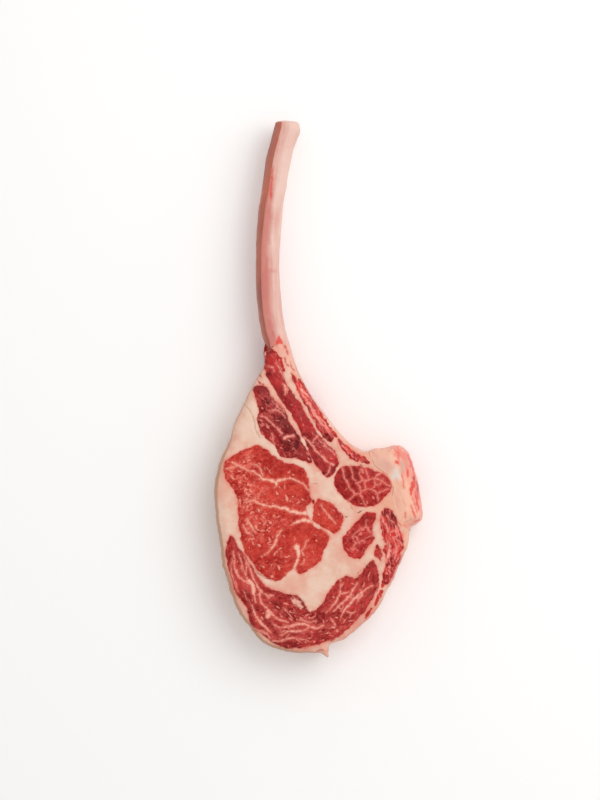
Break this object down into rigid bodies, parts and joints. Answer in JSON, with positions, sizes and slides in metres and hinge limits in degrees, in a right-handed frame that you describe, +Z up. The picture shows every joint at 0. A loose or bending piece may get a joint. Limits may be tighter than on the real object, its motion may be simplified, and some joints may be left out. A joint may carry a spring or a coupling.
{
  "type": "raw tomahawk steak",
  "caption": "Thick raw rib steak lying on its cut face, with marbled muscles in pale fat, a chine bone and a long bare curved rib bone.",
  "frame": {"origin": "middle of the box round the steak, on the surface it lies on", "axes": "+Y along the bone towards its sawn tip, +Z up out of the cut face that shows, +X towards the chine bone"},
  "size_m": [0.1679, 0.4306, 0.0464],
  "materials": {
    "fat": "cream raw fat, soft sheen, pinker beside the meat",
    "rib_bone": "scraped pale pink rib bone with red streaks, damp",
    "chine_bone": "sawn beige bone with red marrow streaks, damp",
    "eye_meat": "bright red raw meat with fine pale marbling, wet",
    "cap_meat": "dark red raw meat with pale branching marbling, wet",
    "rib_meat": "dark red raw meat with long grain, wet",
    "side_meat": "red raw meat in pale seams, wet"
  },
  "bodies": {
    "root": {"fat": "fat", "rib_bone": "rib_bone", "chine_bone": "chine_bone", "eye_muscle": "eye_meat", "cap_muscle": "cap_meat", "outer_rib_muscle": "rib_meat", "long_rib_muscle": "rib_meat", "round_muscle": "side_meat", "wedge_muscle": "eye_meat", "oval_muscle": "side_meat", "side_muscle": "side_meat", "bead_muscle": "side_meat", "long_strip_front": "rib_meat", "long_strip_back": "rib_meat", "short_strip_front": "rib_meat", "short_strip_back": "rib_meat"}
  },
  "joints": []
}
